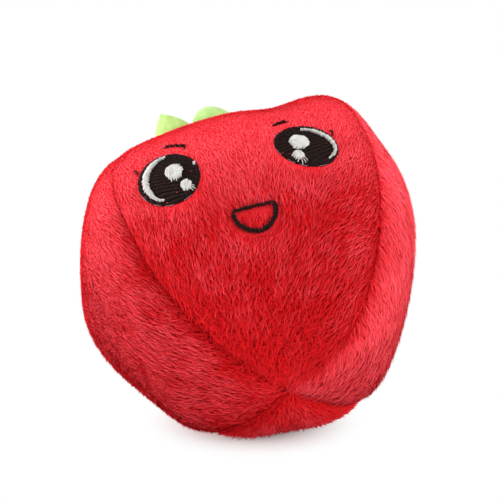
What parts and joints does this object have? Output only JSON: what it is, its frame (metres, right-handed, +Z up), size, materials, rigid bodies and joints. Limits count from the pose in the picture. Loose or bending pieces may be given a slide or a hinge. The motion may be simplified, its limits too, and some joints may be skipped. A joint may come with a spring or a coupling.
{
  "type": "squeaky plush dog toy",
  "caption": "Stuffed plush fruit toy with a stitched face, felt leaves on its crown and a squeaker held in the stuffing.",
  "frame": {"origin": "On the surface it lies on, below the middle of the stuffed body, on the flattened patch of the back panel.", "axes": "+Z up as the toy lies in the picture; -Y towards the viewer, whom the face looks up at; +X to the viewer's right. The crown leans back towards +Y."},
  "size_m": [0.1002, 0.1015, 0.0989],
  "materials": {
    "red_plush": "short knitted plush, clumped pile",
    "red_thread": "polyester sewing thread",
    "black_thread": "satin-stitched rayon thread",
    "white_thread": "satin-stitched rayon thread",
    "green_felt": "pressed felt",
    "green_thread": "polyester sewing thread",
    "backing_sheet": "non-woven tear-away sheet",
    "fibre_fill": "loose polyester fibre",
    "pouch_cloth": "thin woven cloth",
    "squeaker_plastic": "soft blow-moulded polyethylene",
    "reed_plastic": "moulded hard plastic",
    "reed_metal": "thin rolled brass strip"
  },
  "bodies": {
    "cover": {"front_panel": "red_plush", "right_panel": "red_plush", "back_panel": "red_plush", "left_panel": "red_plush", "seam_thread_front_right": "red_thread", "seam_thread_back_right": "red_thread", "seam_thread_back_left": "red_thread", "seam_thread_front_left": "red_thread", "closing_stitch": "red_thread", "embroidery_backing": "backing_sheet", "left_eye_black": "black_thread", "left_eye_crescent": "white_thread", "left_eye_glint_large": "white_thread", "left_eye_glint_small": "white_thread", "left_eye_lid_stitch": "black_thread", "left_eye_lash_stitch": "black_thread", "right_eye_black": "black_thread", "right_eye_crescent": "white_thread", "right_eye_glint_large": "white_thread", "right_eye_glint_small": "white_thread", "right_eye_lid_stitch": "black_thread", "right_eye_lash_stitch": "black_thread", "mouth_outline_stitch": "black_thread", "stuffing_upper": "fibre_fill", "stuffing_lower": "fibre_fill", "pouch_upper": "pouch_cloth", "pouch_lower": "pouch_cloth", "pouch_stitch": "white_thread"},
    "calyx": {"calyx_centre": "green_felt", "calyx_stitch": "green_thread"},
    "leaf_1": {"leaf_1": "green_felt"},
    "leaf_2": {"leaf_2": "green_felt"},
    "leaf_3": {"leaf_3": "green_felt"},
    "leaf_4": {"leaf_4": "green_felt"},
    "leaf_5": {"leaf_5": "green_felt"},
    "squeaker": {"squeaker_base": "squeaker_plastic", "squeaker_pleats": "squeaker_plastic", "reed_plug": "reed_plastic", "reed_seat": "reed_plastic", "reed_wedge": "reed_plastic"},
    "squeaker_cap": {"squeaker_cap": "squeaker_plastic"},
    "reed_tongue": {"reed_tongue": "reed_metal"}
  },
  "joints": [
    {"name": "squeeze", "type": "slide", "parent": "cover", "child": "calyx", "axis": [0, 0, 1], "range_m": [-0.016, 0], "stiffness_N_per_m": 800, "deforming": ["front_panel", "right_panel", "back_panel", "left_panel", "seam_thread_front_right", "seam_thread_back_right", "seam_thread_back_left", "seam_thread_front_left", "closing_stitch", "embroidery_backing", "left_eye_black", "left_eye_crescent", "left_eye_glint_large", "left_eye_glint_small", "left_eye_lid_stitch", "left_eye_lash_stitch", "right_eye_black", "right_eye_crescent", "right_eye_glint_large", "right_eye_glint_small", "right_eye_lid_stitch", "right_eye_lash_stitch", "mouth_outline_stitch", "stuffing_upper", "stuffing_lower", "pouch_upper", "pouch_lower", "pouch_stitch"]},
    {"name": "squeaker_sink", "type": "slide", "parent": "cover", "child": "squeaker", "axis": [0, 0, 1], "range_m": [-0.009, 0]},
    {"name": "squeaker_press", "type": "slide", "parent": "squeaker", "child": "squeaker_cap", "axis": [0, 0, 1], "range_m": [-0.0052, 0], "deforming": ["squeaker_pleats"]},
    {"name": "reed_flex", "type": "hinge", "parent": "squeaker", "child": "reed_tongue", "pos_m": [0, 0, 0.0321], "axis": [0, 1, 0], "range_deg": [-3, 6], "stiffness_Nm_per_rad": 0.001},
    {"name": "leaf_1_flex", "type": "hinge", "parent": "calyx", "child": "leaf_1", "pos_m": [-0.01419, 0.02331, 0.06906], "axis": [-0.7642, 0.2051, -0.6115], "range_deg": [-8, 6], "stiffness_Nm_per_rad": 0.004},
    {"name": "leaf_2_flex", "type": "hinge", "parent": "calyx", "child": "leaf_2", "pos_m": [-0.00886, 0.0233, 0.07146], "axis": [-0.9608, -0.2644, -0.084], "range_deg": [-4, 30], "stiffness_Nm_per_rad": 0.004},
    {"name": "leaf_3_flex", "type": "hinge", "parent": "calyx", "child": "leaf_3", "pos_m": [-0.00191, 0.02966, 0.06623], "axis": [-0.0106, -0.6087, 0.7934], "range_deg": [-20, 25], "stiffness_Nm_per_rad": 0.004},
    {"name": "leaf_4_flex", "type": "hinge", "parent": "calyx", "child": "leaf_4", "pos_m": [-0.00766, 0.03311, 0.05913], "axis": [0.9337, 0.0486, 0.3547], "range_deg": [-14, 30], "stiffness_Nm_per_rad": 0.004},
    {"name": "leaf_5_flex", "type": "hinge", "parent": "calyx", "child": "leaf_5", "pos_m": [-0.01679, 0.02803, 0.06171], "axis": [0.3083, 0.6413, -0.7027], "range_deg": [-10, 30], "stiffness_Nm_per_rad": 0.004}
  ],
  "couplings": [
    {"joint": "squeaker_sink", "follows": "squeeze", "ratio": 0.5625},
    {"joint": "squeaker_press", "follows": "squeeze", "ratio": 0.32}
  ]
}
